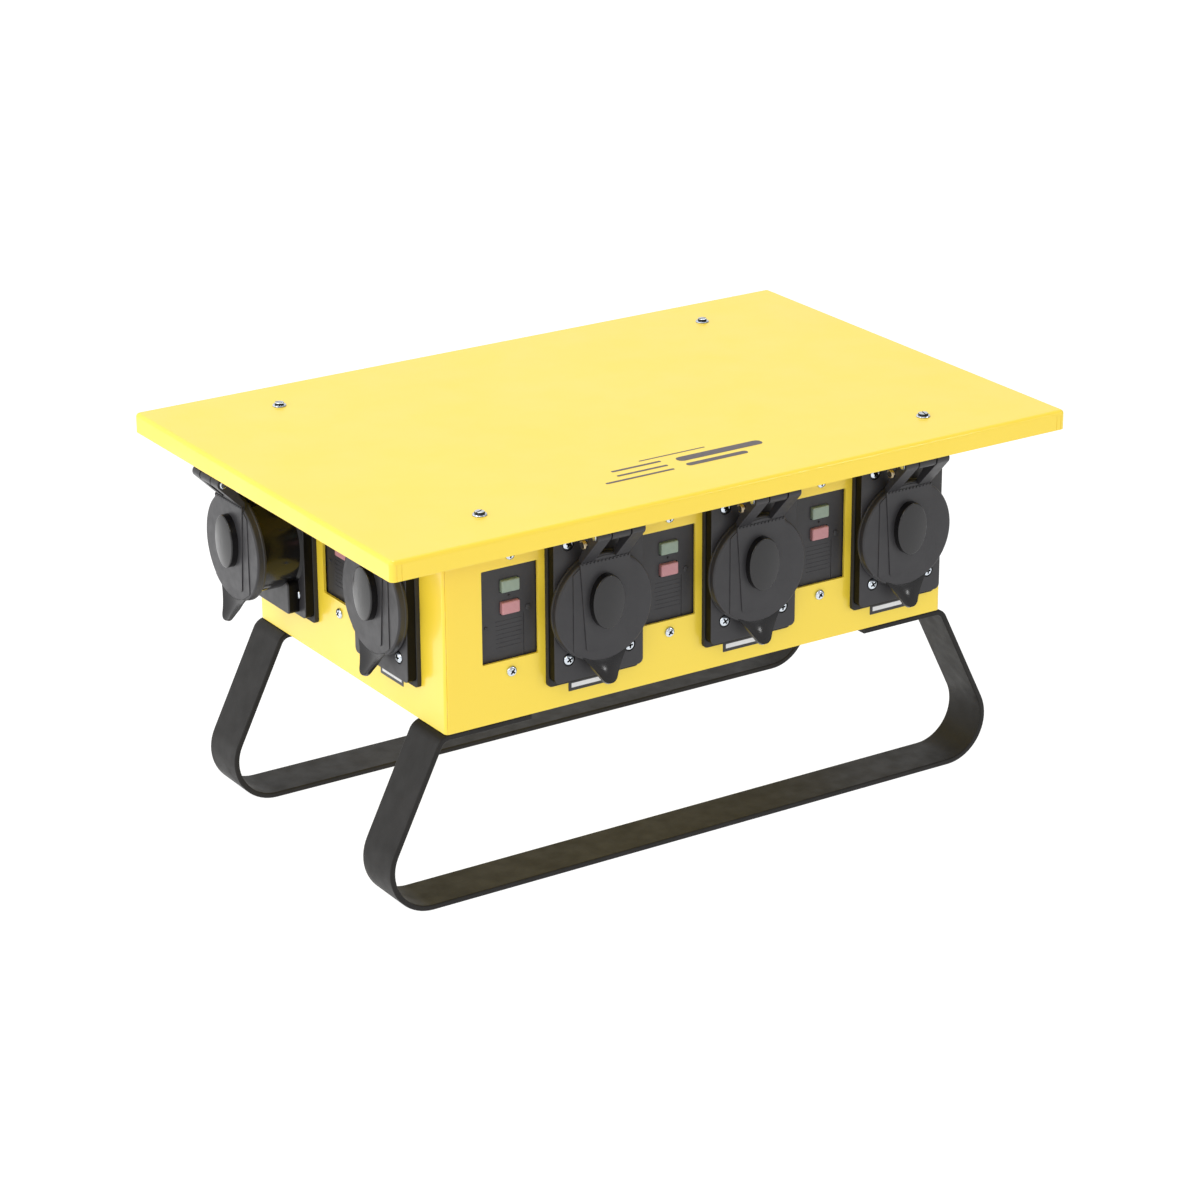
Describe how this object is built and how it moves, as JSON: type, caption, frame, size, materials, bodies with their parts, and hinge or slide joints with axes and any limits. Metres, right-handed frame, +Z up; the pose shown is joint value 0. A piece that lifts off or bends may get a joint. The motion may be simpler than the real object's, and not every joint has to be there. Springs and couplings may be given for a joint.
{
  "type": "portable power distribution box",
  "caption": "Sheet-steel power distribution box on two bent-bar legs, with an overhanging roof, flip-lid outlets, ground-fault modules, a covered inlet and a breaker window.",
  "frame": {"origin": "on the ground, under the middle of the roof", "axes": "+X along the length, front wall facing -Y, +Z up"},
  "size_m": [0.548, 0.362, 0.2813],
  "materials": {
    "yellow_paint": "smooth safety-yellow powder paint, satin gloss",
    "black_powder_coat": "fine-textured black powder coat",
    "black_plastic": "satin moulded black plastic",
    "grey_plastic": "satin moulded grey insulator",
    "toggle_plastic": "satin moulded black lever",
    "gasket_rubber": "matt black foam rubber",
    "green_button": "pale grey-green moulded plastic",
    "red_button": "pale red moulded plastic",
    "clear_plastic": "clear polycarbonate",
    "zinc_plate": "bright zinc-plated steel",
    "brass": "plain brass",
    "label_film": "printed label film"
  },
  "bodies": {
    "box": {"housing": "yellow_paint", "roof_cover": "yellow_paint", "base_panel": "yellow_paint", "leg_front": "black_powder_coat", "leg_rear": "black_powder_coat", "cover_plate_inlet": "black_plastic", "inlet_shroud": "black_plastic", "hinge_pin_inlet": "zinc_plate", "power_inlet": "grey_plastic", "cover_plate_feed_outlet": "black_plastic", "hinge_pin_feed_outlet": "zinc_plate", "receptacle_feed_outlet": "grey_plastic", "breaker_window_frame": "black_plastic", "breaker_window_pin": "zinc_plate", "breaker_rail": "zinc_plate", "terminal_block": "grey_plastic", "ground_bar": "brass", "roof_screw_front_left": "zinc_plate", "roof_screw_front_right": "zinc_plate", "roof_screw_rear_left": "zinc_plate", "roof_screw_rear_right": "zinc_plate", "cover_plate_front_1": "black_plastic", "hinge_pin_front_1": "zinc_plate", "receptacle_front_1": "grey_plastic", "cover_plate_front_2": "black_plastic", "hinge_pin_front_2": "zinc_plate", "receptacle_front_2": "grey_plastic", "cover_plate_front_3": "black_plastic", "hinge_pin_front_3": "zinc_plate", "receptacle_front_3": "grey_plastic", "cover_plate_left": "black_plastic", "hinge_pin_left": "zinc_plate", "receptacle_left": "grey_plastic", "ground_fault_module_front_1": "black_plastic", "ground_fault_module_front_2": "black_plastic", "ground_fault_module_front_3": "black_plastic", "ground_fault_module_left": "black_plastic", "circuit_breaker_1": "black_plastic", "circuit_breaker_2": "black_plastic", "circuit_breaker_3": "black_plastic", "circuit_breaker_4": "black_plastic"},
    "outlet_lid_front_1": {"flip_lid_front_1": "black_plastic"},
    "outlet_lid_front_2": {"flip_lid_front_2": "black_plastic"},
    "outlet_lid_front_3": {"flip_lid_front_3": "black_plastic"},
    "outlet_lid_left": {"flip_lid_left": "black_plastic"},
    "feed_outlet_lid": {"flip_lid_feed_outlet": "black_plastic"},
    "inlet_lid": {"flip_lid_inlet": "black_plastic"},
    "green_button_front_1": {"green_button_front_1": "green_button"},
    "red_button_front_1": {"red_button_front_1": "red_button"},
    "green_button_front_2": {"green_button_front_2": "green_button"},
    "red_button_front_2": {"red_button_front_2": "red_button"},
    "green_button_front_3": {"green_button_front_3": "green_button"},
    "red_button_front_3": {"red_button_front_3": "red_button"},
    "green_button_left": {"green_button_left": "green_button"},
    "red_button_left": {"red_button_left": "red_button"},
    "window_door": {"breaker_window_door": "clear_plastic"},
    "toggle_1": {"breaker_toggle_1": "toggle_plastic"},
    "toggle_2": {"breaker_toggle_2": "toggle_plastic"},
    "toggle_3": {"breaker_toggle_3": "toggle_plastic"},
    "toggle_4": {"breaker_toggle_4": "toggle_plastic"}
  },
  "joints": [
    {"name": "outlet_lid_front_1_hinge", "type": "hinge", "parent": "box", "child": "outlet_lid_front_1", "pos_m": [-0.09175, -0.1645, 0.2565], "axis": [-1, 0, 0], "range_deg": [0, 90], "stiffness_Nm_per_rad": 0.03, "springref_deg": -68.75},
    {"name": "outlet_lid_front_2_hinge", "type": "hinge", "parent": "box", "child": "outlet_lid_front_2", "pos_m": [0.03525, -0.1645, 0.2565], "axis": [-1, 0, 0], "range_deg": [0, 90], "stiffness_Nm_per_rad": 0.03, "springref_deg": -68.75},
    {"name": "outlet_lid_front_3_hinge", "type": "hinge", "parent": "box", "child": "outlet_lid_front_3", "pos_m": [0.16225, -0.1645, 0.2565], "axis": [-1, 0, 0], "range_deg": [0, 90], "stiffness_Nm_per_rad": 0.03, "springref_deg": -68.75},
    {"name": "outlet_lid_left_hinge", "type": "hinge", "parent": "box", "child": "outlet_lid_left", "pos_m": [-0.24125, -0.0625, 0.263], "axis": [0, 1, 0], "range_deg": [0, 90], "stiffness_Nm_per_rad": 0.03, "springref_deg": -68.75},
    {"name": "feed_outlet_lid_hinge", "type": "hinge", "parent": "box", "child": "feed_outlet_lid", "pos_m": [0.24125, 0, 0.263], "axis": [0, -1, 0], "range_deg": [0, 90], "stiffness_Nm_per_rad": 0.03, "springref_deg": -68.75},
    {"name": "inlet_lid_hinge", "type": "hinge", "parent": "box", "child": "inlet_lid", "pos_m": [-0.26775, 0.0785, 0.258], "axis": [0, 1, 0], "range_deg": [0, 90], "stiffness_Nm_per_rad": 0.03, "springref_deg": -68.75},
    {"name": "green_button_front_1_press", "type": "slide", "parent": "box", "child": "green_button_front_1", "axis": [0, 1, 0], "range_m": [0, 0.002], "stiffness_N_per_m": 400},
    {"name": "red_button_front_1_press", "type": "slide", "parent": "box", "child": "red_button_front_1", "axis": [0, 1, 0], "range_m": [0, 0.002], "stiffness_N_per_m": 400},
    {"name": "green_button_front_2_press", "type": "slide", "parent": "box", "child": "green_button_front_2", "axis": [0, 1, 0], "range_m": [0, 0.002], "stiffness_N_per_m": 400},
    {"name": "red_button_front_2_press", "type": "slide", "parent": "box", "child": "red_button_front_2", "axis": [0, 1, 0], "range_m": [0, 0.002], "stiffness_N_per_m": 400},
    {"name": "green_button_front_3_press", "type": "slide", "parent": "box", "child": "green_button_front_3", "axis": [0, 1, 0], "range_m": [0, 0.002], "stiffness_N_per_m": 400},
    {"name": "red_button_front_3_press", "type": "slide", "parent": "box", "child": "red_button_front_3", "axis": [0, 1, 0], "range_m": [0, 0.002], "stiffness_N_per_m": 400},
    {"name": "green_button_left_press", "type": "slide", "parent": "box", "child": "green_button_left", "axis": [1, 0, 0], "range_m": [0, 0.002], "stiffness_N_per_m": 400},
    {"name": "red_button_left_press", "type": "slide", "parent": "box", "child": "red_button_left", "axis": [1, 0, 0], "range_m": [0, 0.002], "stiffness_N_per_m": 400},
    {"name": "window_door_hinge", "type": "hinge", "parent": "box", "child": "window_door", "pos_m": [0, 0.1414, 0.2402], "axis": [1, 0, 0], "range_deg": [0, 110]},
    {"name": "toggle_1_hinge", "type": "hinge", "parent": "box", "child": "toggle_1", "pos_m": [0.0381, 0.12, 0.203], "axis": [-1, 0, 0], "range_deg": [0, 50]},
    {"name": "toggle_2_hinge", "type": "hinge", "parent": "box", "child": "toggle_2", "pos_m": [0.0127, 0.12, 0.203], "axis": [-1, 0, 0], "range_deg": [0, 50]},
    {"name": "toggle_3_hinge", "type": "hinge", "parent": "box", "child": "toggle_3", "pos_m": [-0.0127, 0.12, 0.203], "axis": [-1, 0, 0], "range_deg": [0, 50]},
    {"name": "toggle_4_hinge", "type": "hinge", "parent": "box", "child": "toggle_4", "pos_m": [-0.0381, 0.12, 0.203], "axis": [-1, 0, 0], "range_deg": [0, 50]}
  ]
}
